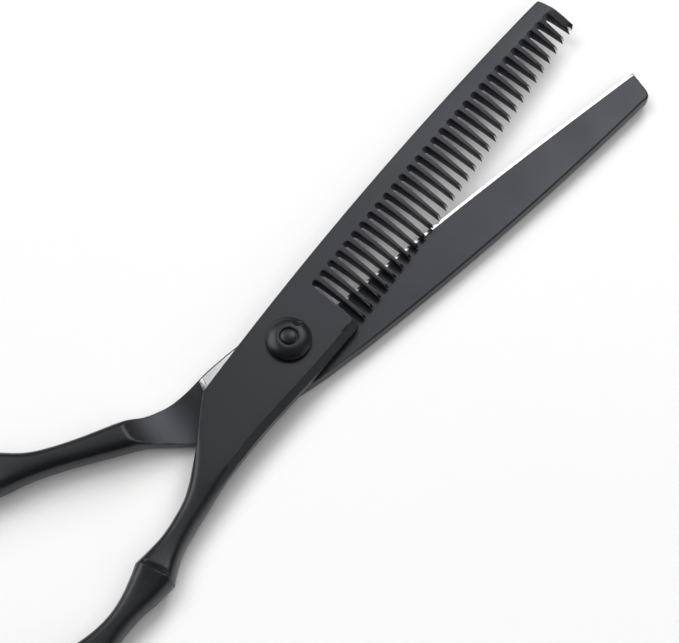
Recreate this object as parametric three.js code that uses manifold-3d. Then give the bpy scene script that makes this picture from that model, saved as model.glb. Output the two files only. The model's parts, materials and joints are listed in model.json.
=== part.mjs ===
// Thinning shears for hair salons, lying flat with the blades part open.
//
// Frame: millimetres, +Z up. The pivot axis is the Z axis, the underside of the rear nut is at z = 0,
// and +Y runs along the line that halves the opening, towards the blade tips.
// Each arm is drawn in its closed position and then turned about the pivot by half the opening.
import * as THREE from 'three';
import { mergeVertices } from 'three/addons/utils/BufferGeometryUtils.js';
import Module from 'manifold-3d';

const wasm = await Module();
wasm.setup();

// Driving dimensions
const openingAngle = 12;
const toothCount = 30;
const toothPitch = 2.106;
const ringHeight = 6.5;
const ringInnerRadius = 10.9;
const ringWall = 3.3;
const gap = 0.3;

// Levels of the stack, from the table up
const plainBottom = 0.9;
const plainTop = 3.1;
const combBottom = plainTop + gap;
const combTop = 5.9;
const ringMiddle = ringHeight / 2;

// Radii and levels of the pivot stack
const fit = 0.05;
const nutRadius = 3.7;
const nutBossRadius = 2.6;
const shoulderBottom = plainBottom + 1.05;
const screwRadius = 2;
const threadRadius = 1.45;
const screwTop = 7.05;
const retainerRadius = 0.7;
const bushingRadius = 2.75;
const rideWasherRadius = 4.6;
const rideWasherRecess = 0.5;
const dialRadius = 3.65;
const dialBottom = combTop + gap;
const dialCrown = 7.62;

// Centres of the finger rings with the shears closed
const thumbRingCentre = new THREE.Vector2(12, -75);
const fingerRingCentre = new THREE.Vector2(-20.5, -79);
const ringOuterRadius = ringInnerRadius + ringWall;

// ---------------------------------------------------------------- materials

function metal(colour, roughness, metalness) {
  return new THREE.MeshStandardMaterial({ color: colour, roughness, metalness });
}

const blackCoating = () => metal(0x35373a, 0.45, 0.6);
const bareSteel = () => metal(0xc9ccd0, 0.28, 1);
const springSteel = () => metal(0x8f9399, 0.35, 1);
const whitePlastic = () => metal(0xe6e4dc, 0.6, 0);
const blackRubber = () => metal(0x1b1b1c, 0.85, 0);

// ---------------------------------------------------------------- solids

function toSolid(geometry) {
  const bare = geometry.clone();
  bare.deleteAttribute('normal');
  bare.deleteAttribute('uv');
  const welded = mergeVertices(bare, 1e-4);
  return new wasm.Manifold(new wasm.Mesh({
    numProp: 3,
    vertProperties: new Float32Array(welded.attributes.position.array),
    triVerts: new Uint32Array(welded.index.array),
  }));
}

function toNode(name, solid, material) {
  const { vertProperties, triVerts } = solid.getMesh();
  const geometry = new THREE.BufferGeometry();
  geometry.setAttribute('position', new THREE.BufferAttribute(vertProperties, 3));
  geometry.setIndex(new THREE.BufferAttribute(triVerts, 1));
  geometry.computeVertexNormals();
  const node = new THREE.Mesh(geometry, material);
  node.name = name;
  return node;
}

// A flat plate between two heights. The rounding takes material off the edges of both faces.
function plate(shape, bottom, top, rounding = 0, roundingSteps = 2) {
  const geometry = new THREE.ExtrudeGeometry(shape, {
    depth: top - bottom - 2 * rounding,
    steps: 1,
    curveSegments: 4,
    bevelEnabled: rounding > 0,
    bevelThickness: rounding,
    bevelSize: rounding,
    bevelOffset: -rounding,
    bevelSegments: roundingSteps,
  });
  geometry.translate(0, 0, bottom + rounding);
  return toSolid(geometry);
}

// A solid of revolution about Z. The profile is a closed loop of [radius, height] points.
function turned(profile, segments = 32) {
  const points = profile.map(([radius, height]) => new THREE.Vector2(radius, height));
  const geometry = new THREE.LatheGeometry(points, segments);
  geometry.rotateX(Math.PI / 2);
  return toSolid(geometry);
}

function disc(radius, bottom, top, segments = 32) {
  return turned([[0, bottom], [radius, bottom], [radius, top], [0, top]], segments);
}

function washer(innerRadius, outerRadius, bottom, top, segments = 32) {
  return turned([
    [innerRadius, bottom], [outerRadius, bottom], [outerRadius, top], [innerRadius, top],
    [innerRadius, bottom],
  ], segments);
}

// ---------------------------------------------------------------- outlines

const vectors = (points) => points.map(([x, y]) => new THREE.Vector2(x, y));

function arcPoints(centre, radius, fromDegrees, toDegrees, steps) {
  return Array.from({ length: steps + 1 }, (_, i) => {
    const angle = THREE.MathUtils.degToRad(THREE.MathUtils.lerp(fromDegrees, toDegrees, i / steps));
    return [centre.x + radius * Math.cos(angle), centre.y + radius * Math.sin(angle)];
  });
}

function samples(from, to, steps, pointAt) {
  return Array.from({ length: steps + 1 }, (_, i) => pointAt(THREE.MathUtils.lerp(from, to, i / steps)));
}

// ---------------------------------------------------------------- comb blade

const firstSlotY = 10.22;
const lastSlotY = firstSlotY + (toothCount - 1) * toothPitch;
const slotRootRadius = 0.575;
const slotMouthHalfWidth = 0.78;
const prongDepth = 0.8;

// The spine is an arc of 680 mm radius, furthest out 20 mm in front of the pivot.
const combSpineX = (y) => -6.3 + (y - 20) ** 2 / (2 * 680);
const combTipY = 72.6;
const slotRootX = (y) => combSpineX(y) + 3.08 - 0.009 * (y - firstSlotY);

// The line along the tooth ends comes closer to the spine towards the tip, in a slight bow.
const toothTipX = (y) => {
  const along = (y - firstSlotY) / (lastSlotY - firstSlotY);
  return 6.8 - 3.8 * along + 0.55 * Math.sin(Math.PI * along);
};

// The middle of a slot bends back a little towards the pivot.
const slotMiddleY = (y, x) => {
  const run = x - slotRootX(y);
  return y - 0.01 * run - 0.0035 * run ** 2;
};

// One slot, from its mouth on the tip side round its root to its mouth on the pivot side.
function slotPoints(y) {
  const rootX = slotRootX(y);
  const mouthX = toothTipX(y);
  const side = (sign, along) => {
    const x = THREE.MathUtils.lerp(rootX + slotRootRadius, mouthX, along);
    const halfWidth = THREE.MathUtils.lerp(slotRootRadius, slotMouthHalfWidth, Math.sqrt(along));
    return [x, slotMiddleY(y, x) + sign * halfWidth];
  };
  const root = arcPoints(new THREE.Vector2(rootX + slotRootRadius, y), slotRootRadius, 120, 240, 3);
  return [
    side(1, 1), side(1, 0.5), side(1, 0.15),
    ...root,
    side(-1, 0.15), side(-1, 0.5), side(-1, 1),
  ];
}

// A shallow V in the end of a tooth leaves it with two prongs that hold the hair.
function notchPoint(tipSide, pivotSide) {
  return [(tipSide[0] + pivotSide[0]) / 2 - prongDepth, (tipSide[1] + pivotSide[1]) / 2];
}

function combBladeShape() {
  const shape = new THREE.Shape();
  const tipCorner = [2.65, 73.35];
  const lastProng = [2.9, 72.8];
  shape.moveTo(-5.65, -14.55);
  for (const point of samples(-13.6, combTipY, 14, (y) => [combSpineX(y), y])) {
    shape.lineTo(...point);
  }
  shape.splineThru(vectors([[-3.9, 72.85], [-2.34, 73.2], [0, 73.4], tipCorner]));
  shape.lineTo(...lastProng);
  let toothStart = lastProng;
  for (let slot = toothCount - 1; slot >= 0; slot -= 1) {
    const points = slotPoints(firstSlotY + slot * toothPitch);
    shape.lineTo(...notchPoint(toothStart, points[0]));
    for (const point of points) {
      shape.lineTo(...point);
    }
    toothStart = points[points.length - 1];
  }
  shape.splineThru(vectors([[6.95, 6], [6.7, -2], [6.08, -14], [6.15, -22]]));
  shape.lineTo(-0.9, -22);
  shape.lineTo(-1.7, -20.2);
  return shape;
}

// What is ground off the outer face: the teeth get thinner from their roots on, and end in a short bevel.
function toothGrind() {
  const toothEndTop = 4.55;
  const edgeTop = combBottom + 0.3;
  const bevelRun = 0.45;
  const beyond = 4;
  const endY = combTipY + 3;
  const surface = (y) => [
    [slotRootX(y), combTop],
    [toothTipX(y) - bevelRun, toothEndTop],
    [toothTipX(y) + 0.1, edgeTop],
    [toothTipX(y) + beyond, edgeTop],
  ];
  const geometry = new THREE.BoxGeometry(3, 1, 1, 3, 16, 1);
  const position = geometry.attributes.position;
  for (let i = 0; i < position.count; i += 1) {
    const along = position.getY(i) + 0.5;
    const sectionY = THREE.MathUtils.lerp(firstSlotY, endY, along);
    const [x, floor] = surface(sectionY)[Math.round(position.getX(i) + 1.5)];
    const startY = slotMiddleY(firstSlotY, x);
    const top = combTop + gap;
    position.setXYZ(i, x, THREE.MathUtils.lerp(startY, endY, along), position.getZ(i) > 0 ? top : floor);
  }
  return toSolid(geometry);
}

// A straight bevel along the edge behind the teeth, from the first slot until it runs out on the shank.
function heelBevel() {
  const width = 1.15;
  const slope = 0.9;
  const beyond = 0.3;
  const edgeX = 6.95;
  const slotY = 9.7;
  const length = 26;
  const lean = -2.2;
  const section = new THREE.Shape(vectors([
    [-width - beyond, combTop + slope * beyond], [beyond, combTop - slope * (width + beyond)],
    [beyond, combTop + 1],
  ]));
  const geometry = new THREE.ExtrudeGeometry(section, { depth: length, bevelEnabled: false });
  geometry.rotateX(Math.PI / 2);
  return toSolid(geometry).rotate([0, 0, lean]).translate([edgeX, slotY, 0]);
}

// ---------------------------------------------------------------- handles

// The ring for a finger, with an oval section.
function fingerRing(centre) {
  const middleRadius = ringInnerRadius + ringWall / 2;
  const profile = arcPoints(new THREE.Vector2(middleRadius, ringMiddle), 1, 0, 360, 12).map(([x, z]) => [
    middleRadius + (x - middleRadius) * ringWall / 2,
    ringMiddle + (z - ringMiddle) * ringHeight / 2,
  ]);
  return turned(profile, 40).translate([centre.x, centre.y, 0]);
}

// A bar of rounded section that follows a list of stations. A station gives the left and the right edge
// in plan, and then the lowest and the highest point: [leftX, leftY, rightX, rightY, bottom, top].
function forgedBar(stations) {
  const stepsBetween = 2;
  const squareness = 0.72;
  const through = (pick) => {
    const points = stations.map((station) => new THREE.Vector3(...pick(station)));
    return new THREE.CatmullRomCurve3(points);
  };
  const leftEdge = through(([x, y, , , bottom]) => [x, y, bottom]);
  const rightEdge = through(([, , x, y, , top]) => [x, y, top]);
  const geometry = new THREE.CylinderGeometry(1, 1, 1, 16, (stations.length - 1) * stepsBetween);
  const position = geometry.attributes.position;
  const squared = (value) => Math.sign(value) * Math.abs(value) ** squareness;
  const rounded = (value) => Math.round(value * 1e6) / 1e6;
  for (let i = 0; i < position.count; i += 1) {
    const along = 0.5 - position.getY(i);
    const left = leftEdge.getPoint(along);
    const right = rightEdge.getPoint(along);
    const across = (1 + squared(rounded(position.getX(i)))) / 2;
    const up = (1 + squared(rounded(position.getZ(i)))) / 2;
    position.setXYZ(i,
      THREE.MathUtils.lerp(left.x, right.x, across),
      THREE.MathUtils.lerp(left.y, right.y, across),
      THREE.MathUtils.lerp(left.z, right.z, up));
  }
  return toSolid(geometry);
}

// The thumb shank: out of the comb blade, through a waist, over a knuckle and into its ring.
function thumbShank() {
  return forgedBar([
    [-4.2, -16, 5.9, -16, combBottom + 0.1, combTop - 0.1],
    [-1.5, -20.4, 6.05, -20.4, combBottom + 0.05, combTop - 0.05],
    [0.15, -24, 6.3, -24, combBottom, 5.8],
    [1.75, -27.5, 6.65, -27.3, 1.9, 5.75],
    [3.1, -31.9, 7.1, -31.5, 1.1, 5.65],
    [3.7, -36.5, 7.8, -36, 0.9, 5.6],
    [3.55, -40, 8.9, -39.2, 0.7, 5.8],
    [3.2, -42.5, 10.1, -41.6, 0.4, 6.1],
    [3.9, -45, 9.8, -44.4, 0.7, 5.8],
    [4.75, -47.6, 9.2, -47.4, 0.9, 5.6],
    [5.15, -51.2, 8.95, -51, 0.9, 5.6],
    [4.7, -54.8, 9.75, -54.6, 0.8, 5.7],
    [3.35, -59, 12.3, -58.2, 0.6, 5.9],
    [1.8, -65.2, 16.2, -62.2, 0.9, 5.6],
  ]);
}

// The finger shank: longer than the thumb's, and bent further out.
function fingerShank() {
  return forgedBar([
    [-4.6, -17, 3.6, -17, plainBottom + 0.1, plainTop - 0.1],
    [-4.65, -20.5, 2.6, -20.5, plainBottom + 0.05, plainTop - 0.15],
    [-5.5, -24, 0.8, -24.3, plainBottom, plainTop],
    [-7.2, -27.2, -1.7, -28.2, 0.9, 4.9],
    [-8.35, -30.9, -3, -31.6, 0.9, 5.3],
    [-9.55, -34.6, -5.5, -36, 0.9, 5.5],
    [-11.3, -39.2, -7.5, -40.8, 0.8, 5.5],
    [-13.3, -42.6, -9, -44.6, 0.7, 5.7],
    [-15.8, -45.2, -9.9, -48.4, 0.5, 5.9],
    [-17.6, -47.5, -10.6, -51, 0.3, 6.1],
    [-18.2, -50.2, -11.9, -53.2, 0.6, 5.8],
    [-18.4, -53.2, -13.6, -55.6, 0.8, 5.6],
    [-18.8, -57, -14.8, -58.6, 0.9, 5.6],
    [-19.6, -60.3, -14.7, -61.7, 0.8, 5.7],
    [-22.2, -63.9, -12.8, -65, 0.6, 5.9],
    [-25.3, -66.9, -13, -67.8, 0.9, 5.6],
  ]);
}

// ---------------------------------------------------------------- comb arm

function combArm() {
  return plate(combBladeShape(), combBottom, combTop)
    .subtract(toothGrind())
    .subtract(heelBevel())
    .add(thumbShank())
    .add(fingerRing(thumbRingCentre))
    .subtract(disc(bushingRadius + fit, combBottom - gap, combTop + gap))
    .subtract(disc(rideWasherRadius + 3 * fit, combBottom - gap, combBottom + rideWasherRecess))
    .subtract(bumperSolid(fit));
}

// ---------------------------------------------------------------- plain arm

// The spine is widest 14 mm in front of the pivot. The cutting edge is bowed by half a millimetre.
const plainTipY = 74.2;
const edgeHeelY = 8.6;
const plainSpineX = (y) => 7.57 - 0.00082 * (y - 14) ** 2;
const cuttingEdgeX = (y) => {
  const along = Math.max(0, (y - 12) / 62);
  return -0.6 - 0.45 * Math.sin(Math.PI * along) + 0.42 * along;
};

function plainBladeShape() {
  const shape = new THREE.Shape();
  shape.moveTo(cuttingEdgeX(plainTipY), plainTipY);
  shape.lineTo(3.7, 73.75);
  shape.quadraticCurveTo(4.85, 73.5, plainSpineX(71.8), 71.8);
  for (const point of samples(68, 8, 10, (y) => [plainSpineX(y), y])) {
    shape.lineTo(...point);
  }
  shape.splineThru(vectors([[7.2, 0], [6, -9], [4, -17], [1.7, -22.4]]));
  shape.lineTo(-5, -22.4);
  shape.splineThru(vectors([
    [-4.85, -16.5], [-5.3, -12], [-5.4, -5], [-4.75, 1.2], [-3.3, 5], [cuttingEdgeX(edgeHeelY), edgeHeelY],
  ]));
  for (const point of samples(12, 70, 11, (y) => [cuttingEdgeX(y), y])) {
    shape.lineTo(...point);
  }
  shape.closePath();
  return shape;
}

// Grinds the outer face of the plain blade up to its cutting edge.
function edgeGrind() {
  const width = 2.4;
  const edgeThickness = 0.35;
  const beyond = 4;
  const startY = edgeHeelY - beyond;
  const endY = plainTipY + beyond;
  const meanX = (cuttingEdgeX(edgeHeelY) + cuttingEdgeX((edgeHeelY + plainTipY) / 2)) / 2;
  const section = new THREE.Shape(vectors([
    [meanX - beyond, plainBottom - 1], [meanX + width, plainBottom - 1], [meanX + width, plainBottom],
    [meanX - gap, plainTop - edgeThickness], [meanX - beyond, plainTop - edgeThickness],
  ]));
  const geometry = new THREE.ExtrudeGeometry(section, { depth: endY - startY, bevelEnabled: false });
  geometry.rotateX(Math.PI / 2);
  geometry.translate(0, endY, 0);
  return toSolid(geometry);
}

function plainArm() {
  const scoopRadius = 18;
  const scoopDepth = 0.6;
  const scoopY = -19.4;
  const scoop = disc(scoopRadius, -40, 40, 96)
    .rotate([0, 90, 0])
    .translate([0, scoopY, plainTop + scoopRadius - scoopDepth]);
  const blade = plate(plainBladeShape(), plainBottom, plainTop, 0.15, 1).subtract(edgeGrind());
  return blade
    .add(fingerShank())
    .subtract(scoop)
    .add(fingerRing(fingerRingCentre))
    .subtract(disc(screwRadius + fit, plainBottom - gap, plainTop + gap))
    .subtract(disc(nutBossRadius + fit, plainBottom - gap, shoulderBottom))
    .subtract(restSocket());
}

// ---------------------------------------------------------------- pivot stack

// A flat cap nut under the outer face, with a boss let into it and two holes for a pin spanner.
function rearNut() {
  const capTop = plainBottom - 0.02;
  const floor = 0.5;
  const pinHoleReach = 2.9;
  const pinHole = disc(0.45, -gap, 0.55, 16);
  return disc(nutRadius, 0, capTop)
    .add(disc(nutBossRadius, capTop - 0.1, shoulderBottom - fit))
    .subtract(disc(threadRadius + 0.02, floor, shoulderBottom + gap))
    .subtract(pinHole.translate([pinHoleReach, 0, 0]))
    .subtract(pinHole.translate([-pinHoleReach, 0, 0]));
}

// Threads into the rear nut below, carries the comb arm on its shoulder, and takes the dial above.
function pivotScrew() {
  const bottom = 0.55;
  const shoulderTop = combTop + 0.1;
  const boreBottom = 5;
  return turned([
    [0, bottom], [threadRadius, bottom], [threadRadius, shoulderBottom], [screwRadius, shoulderBottom],
    [screwRadius, shoulderTop], [threadRadius, shoulderTop], [threadRadius, screwTop],
    [retainerRadius + 0.02, screwTop], [retainerRadius + 0.02, boreBottom], [0, boreBottom],
  ]);
}

// A button head that keeps the dial from coming off, with a short thread under it.
function retainingScrew() {
  const shankBottom = 5.1;
  const headBottom = screwTop + 0.02;
  const crown = 7.95;
  return turned([
    [0, shankBottom], [retainerRadius - 0.02, shankBottom], [retainerRadius - 0.02, headBottom],
    [threadRadius, headBottom], [threadRadius, crown - 0.45], [1.25, crown - 0.21], [0.8, crown - 0.07],
    [0, crown],
  ]);
}

function pivotBushing() {
  return washer(screwRadius + 0.06, bushingRadius, combBottom + rideWasherRecess + fit, combTop - fit);
}

function rideWasher() {
  return washer(screwRadius + gap, rideWasherRadius, plainTop + fit, combBottom + rideWasherRecess - fit);
}

// A thin plate with a tab that the rim of the dial clicks over.
function clickPlate() {
  const bottom = combTop + fit;
  const thickness = 0.2;
  const tab = disc(0.5, bottom, bottom + thickness, 16).translate([0, dialRadius - 0.4, 0]);
  return washer(screwRadius + 0.2, 3.2, bottom, bottom + thickness).add(tab);
}

// A spring washer bent into two waves.
function waveWasher() {
  const middle = combTop + 0.52;
  const waveHeight = 0.12;
  const halfThickness = 0.08;
  const innerRadius = 2.15;
  const outerRadius = 2.95;
  const geometry = new THREE.LatheGeometry(vectors([
    [innerRadius, -halfThickness], [outerRadius, -halfThickness], [outerRadius, halfThickness],
    [innerRadius, halfThickness], [innerRadius, -halfThickness],
  ]), 48);
  geometry.rotateX(Math.PI / 2);
  const position = geometry.attributes.position;
  for (let i = 0; i < position.count; i += 1) {
    const angle = Math.atan2(position.getY(i), position.getX(i));
    position.setZ(i, position.getZ(i) + middle + waveHeight * Math.cos(2 * angle));
  }
  return toSolid(geometry);
}

// A low cone turned by a fingertip, with a dimple for a key and a hollow underneath for the spring washer.
function tensionDial() {
  const hollowRadius = 3.1;
  const hollowTop = dialBottom + 0.5;
  const boreRadius = 1.55;
  const rimTop = dialBottom + 0.35;
  const dimpleRadius = 1.06;
  const dimpleReach = 2.94;
  const dimpleAngle = THREE.MathUtils.degToRad(103);
  const dimple = new THREE.SphereGeometry(dimpleRadius, 24, 16);
  dimple.translate(
    dimpleReach * Math.cos(dimpleAngle),
    dimpleReach * Math.sin(dimpleAngle),
    dialCrown + 0.3,
  );
  return turned([
    [boreRadius, hollowTop], [hollowRadius, hollowTop], [hollowRadius, dialBottom], [dialRadius, dialBottom],
    [dialRadius, rimTop], [dialRadius - 0.2, rimTop + 0.2], [2.1, dialCrown - 0.07], [1.75, dialCrown],
    [boreRadius, dialCrown - 0.1], [boreRadius, hollowTop],
  ], 40).subtract(toSolid(dimple));
}

// ---------------------------------------------------------------- finger rest and bumper

const restDirection = THREE.MathUtils.degToRad(-98);
const bumperDirection = Math.atan2(
  fingerRingCentre.y - thumbRingCentre.y,
  fingerRingCentre.x - thumbRingCentre.x,
);

// Puts a solid turned about Z onto the outside of a ring, pointing away from the ring's centre.
function onRing(solid, centre, direction, radius) {
  return solid
    .rotate([0, 90, 0])
    .translate([radius, 0, 0])
    .rotate([0, 0, THREE.MathUtils.radToDeg(direction)])
    .translate([centre.x, centre.y, ringMiddle]);
}

const studRadius = 1.05;
const studDepth = 2.2;

function restSocket() {
  const hole = disc(studRadius + fit, -studDepth - 0.1, 1, 24);
  return onRing(hole, fingerRingCentre, restDirection, ringOuterRadius);
}

function restWasher() {
  const ring = washer(studRadius + 0.1, 1.8, 0.15, 0.75, 24);
  return onRing(ring, fingerRingCentre, restDirection, ringOuterRadius);
}

// A curved hook for the little finger, with a threaded stud, a collar and a ball end.
function fingerRest() {
  const barRadius = 1.35;
  const collarStart = 0.8;
  const collarStop = 2;
  const ballRadius = 1.8;
  const stud = disc(studRadius, -studDepth, collarStart + 0.2, 24);
  const collar = disc(1.75, collarStart, collarStop, 24);
  const base = onRing(stud.add(collar), fingerRingCentre, restDirection, ringOuterRadius);
  const reach = ringOuterRadius + collarStop - gap;
  const hookStart = new THREE.Vector3(
    fingerRingCentre.x + reach * Math.cos(restDirection),
    fingerRingCentre.y + reach * Math.sin(restDirection),
    ringMiddle,
  );
  const hookEnd = new THREE.Vector3(-34.5, -103.4, ringMiddle);
  const path = new THREE.CubicBezierCurve3(
    hookStart,
    new THREE.Vector3(-24, -98.5, ringMiddle),
    new THREE.Vector3(-27, -102.6, ringMiddle),
    hookEnd,
  );
  const section = new THREE.Shape(vectors(arcPoints(new THREE.Vector2(0, 0), barRadius, 0, 330, 11)));
  const hook = toSolid(new THREE.ExtrudeGeometry(section, {
    steps: 12, extrudePath: path, bevelEnabled: false,
  }));
  const ball = new THREE.SphereGeometry(ballRadius, 14, 10);
  ball.translate(hookEnd.x, hookEnd.y, hookEnd.z);
  return base.add(hook).add(toSolid(ball));
}

// A rubber stop with its stem pressed into the thumb ring. The clearance makes room for it in the ring.
function bumperSolid(clearance = 0) {
  const stemRadius = 1.2 + clearance;
  const stemEnd = -1.8 - clearance;
  const headRadius = 2.1 + clearance;
  const headStart = 0.3;
  const profile = [
    [0, stemEnd], [stemRadius, stemEnd], [stemRadius, headStart], [headRadius, headStart], [headRadius, 3],
    [1.7 + clearance, 3.6], [0.9, 3.85], [0, 3.9],
  ];
  return onRing(turned(profile, 28), thumbRingCentre, bumperDirection, ringOuterRadius);
}

// ---------------------------------------------------------------- assembly

const upperArm = new THREE.Group();
upperArm.rotation.z = THREE.MathUtils.degToRad(openingAngle / 2);
upperArm.add(
  toNode('comb_arm', combArm(), blackCoating()),
  toNode('pivot_bushing', pivotBushing(), bareSteel()),
  toNode('ride_washer', rideWasher(), whitePlastic()),
  toNode('bumper', bumperSolid(), blackRubber()),
  toNode('click_plate', clickPlate(), springSteel()),
  toNode('wave_washer', waveWasher(), springSteel()),
);

const lowerArm = new THREE.Group();
lowerArm.rotation.z = THREE.MathUtils.degToRad(-openingAngle / 2);
lowerArm.add(
  toNode('plain_arm', plainArm(), blackCoating()),
  toNode('rear_nut', rearNut(), blackCoating()),
  toNode('pivot_screw', pivotScrew(), bareSteel()),
  toNode('retaining_screw', retainingScrew(), blackCoating()),
  toNode('finger_rest_washer', restWasher(), blackRubber()),
  toNode('finger_rest', fingerRest(), blackCoating()),
);

const dial = new THREE.Group();
dial.add(toNode('tension_dial', tensionDial(), blackCoating()));

const shears = new THREE.Group();
shears.add(lowerArm, upperArm, dial);

export default shears;
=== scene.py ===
"""Thinning shears lying part open on a pale table.

Shapes are drawn in millimetres with the shears closed: the pivot is the origin, +Y runs along the blades
and Z is up from the table. Each arm is then turned by half the opening and scaled to metres.
"""
import json
import math

import bpy
import numpy as np
from mathutils import Matrix, Vector
from mathutils.geometry import delaunay_2d_cdt


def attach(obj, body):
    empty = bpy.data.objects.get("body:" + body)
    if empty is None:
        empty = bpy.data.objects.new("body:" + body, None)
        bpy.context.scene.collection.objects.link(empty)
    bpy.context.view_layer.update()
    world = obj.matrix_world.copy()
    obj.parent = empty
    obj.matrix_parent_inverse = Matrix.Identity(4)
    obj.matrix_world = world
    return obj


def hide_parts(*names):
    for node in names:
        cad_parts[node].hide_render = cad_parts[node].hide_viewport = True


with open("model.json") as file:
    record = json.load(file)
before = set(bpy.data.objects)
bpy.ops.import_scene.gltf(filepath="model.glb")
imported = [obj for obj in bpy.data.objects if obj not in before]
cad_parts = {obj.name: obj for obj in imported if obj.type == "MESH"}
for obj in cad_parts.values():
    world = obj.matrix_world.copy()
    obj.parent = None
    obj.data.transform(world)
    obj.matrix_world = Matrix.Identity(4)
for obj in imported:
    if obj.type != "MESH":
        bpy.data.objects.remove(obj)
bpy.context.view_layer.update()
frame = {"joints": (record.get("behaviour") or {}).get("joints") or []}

MM = 0.001
PIVOT = next(j for j in frame["joints"] if j["name"] == "blade_pivot")
HALF_OPENING = math.radians(-PIVOT["range_deg"][0] / 2)

# Levels of the stack
PLAIN_BOTTOM = 0.9
PLAIN_TOP = 3.1
COMB_BOTTOM = 3.4
COMB_TOP = 5.9
RING_HEIGHT = 6.5
RING_MIDDLE = RING_HEIGHT / 2
SHANK_BOTTOM = 0.95

# Finger rings
RING_INNER = 10.9
RING_OUTER = 14.2
THUMB_RING = (12.0, -75.0)
FINGER_RING = (-20.5, -79.0)

# Comb
SLOTS = 30
PITCH = 2.106
FIRST_SLOT = 10.22
LAST_SLOT = FIRST_SLOT + (SLOTS - 1) * PITCH
SLOT_ROOT_RADIUS = 0.575
SLOT_MOUTH_HALF = 0.78
PRONG_DEPTH = 0.8
TOOTH_END_TOP = 4.55
TOOTH_BEVEL = 0.45
TOOTH_EDGE = 0.3
HEEL_BEVEL = 1.15
HEEL_SLOPE = 0.9

# Width of the honed strip along the plain blade
EDGE_STRIP = 0.42

# Least thickness of a piece at a sharp edge
THINNEST = 0.02

# Sockets of a Mix node that mixes colours
MIX_FACTOR = 0
MIX_FIRST = 6
MIX_SECOND = 7
MIX_RESULT = 2


# ---------------------------------------------------------------- lines in plan

def smoothstep(start, stop, value):
    """Eases from 0 at start to 1 at stop."""
    t = np.clip((value - start) / (stop - start), 0, 1)
    return t * t * (3 - 2 * t)


def mix(a, b, share):
    return a + (b - a) * share


def at(p, q, start, stop, t):
    """The point for t on the line that is at p for start and at q for stop."""
    return p + (q - p) * (t - start) / (stop - start)


def through(points, step=1.0):
    """A smooth line through the points, a centripetal Catmull-Rom spline sampled about every step."""
    given = [np.array(p, float) for p in points]
    given = [2 * given[0] - given[1], *given, 2 * given[-1] - given[-2]]
    line = [given[1]]
    for four in zip(given, given[1:], given[2:], given[3:]):
        knots = np.cumsum([0] + [math.sqrt(np.linalg.norm(q - p)) for p, q in zip(four, four[1:])])
        count = max(1, round(float(np.linalg.norm(four[2] - four[1])) / step))
        for t in np.linspace(knots[1], knots[2], count + 1)[1:]:
            near = [at(four[i], four[i + 1], knots[i], knots[i + 1], t) for i in range(3)]
            wide = [at(near[i], near[i + 1], knots[i], knots[i + 2], t) for i in range(2)]
            line.append(at(*wide, knots[1], knots[2], t))
    return line


def arc(centre, radius, start, stop, step=1.0):
    """An arc from one angle to another, in degrees."""
    count = max(2, round(abs(math.radians(stop - start)) * radius / step))
    x, y = centre
    angles = np.radians(np.linspace(start, stop, count + 1))
    return [np.array((x + radius * math.cos(a), y + radius * math.sin(a))) for a in angles]


def joined(*lines):
    """One line out of several that follow each other, with no point twice."""
    line = [np.array(lines[0][0], float)]
    for part in lines:
        line += [np.array(p, float) for p in part if np.linalg.norm(np.array(p) - line[-1]) > 1e-4]
    return line


def distance(points, line):
    """The distance from each point to an open line."""
    start = np.array(line[:-1])
    span = np.array(line[1:]) - start
    length = (span ** 2).sum(1)
    best = np.full(len(points), np.inf)
    for a, d, square in zip(start, span, length):
        t = np.clip(((points - a) @ d) / square, 0, 1)
        best = np.minimum(best, ((points - a - t[:, None] * d) ** 2).sum(1))
    return np.sqrt(best)


def inside(points, loop):
    """Which points lie inside a closed loop."""
    corners = np.array(loop)
    result = np.zeros(len(points), bool)
    for (x0, y0), (x1, y1) in zip(corners, np.roll(corners, -1, axis=0)):
        crosses = (y0 > points[:, 1]) != (y1 > points[:, 1])
        if y0 != y1:
            result ^= crosses & (points[:, 0] < x0 + (points[:, 1] - y0) / (y1 - y0) * (x1 - x0))
    return result


def inset(loop, depth):
    """The loop moved to its left by depth, point for point."""
    corners = np.array(loop)
    along = np.roll(corners, -1, axis=0) - corners
    along /= np.linalg.norm(along, axis=1)[:, None]
    normal = np.stack([-along[:, 1], along[:, 0]], axis=1)
    before = np.roll(normal, 1, axis=0)
    bisector = normal + before
    stretch = np.maximum((bisector * normal).sum(1), 0.7)
    return corners + bisector / stretch[:, None] * depth


# ---------------------------------------------------------------- meshes

def to_mesh(name, vertices, faces, turn=0.0, sharp=32):
    """A closed mesh from millimetres in the closed frame, turned about the pivot."""
    c, s = math.cos(turn), math.sin(turn)
    placed = [((x * c - y * s) * MM, (x * s + y * c) * MM, z * MM) for x, y, z in vertices]
    mesh = bpy.data.meshes.new(name)
    mesh.from_pydata(placed, [], faces)
    mesh.validate()
    mesh.shade_smooth()
    mesh.set_sharp_from_angle(angle=math.radians(sharp))
    piece = bpy.data.objects.new(name, mesh)
    bpy.context.scene.collection.objects.link(piece)
    return piece


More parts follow.
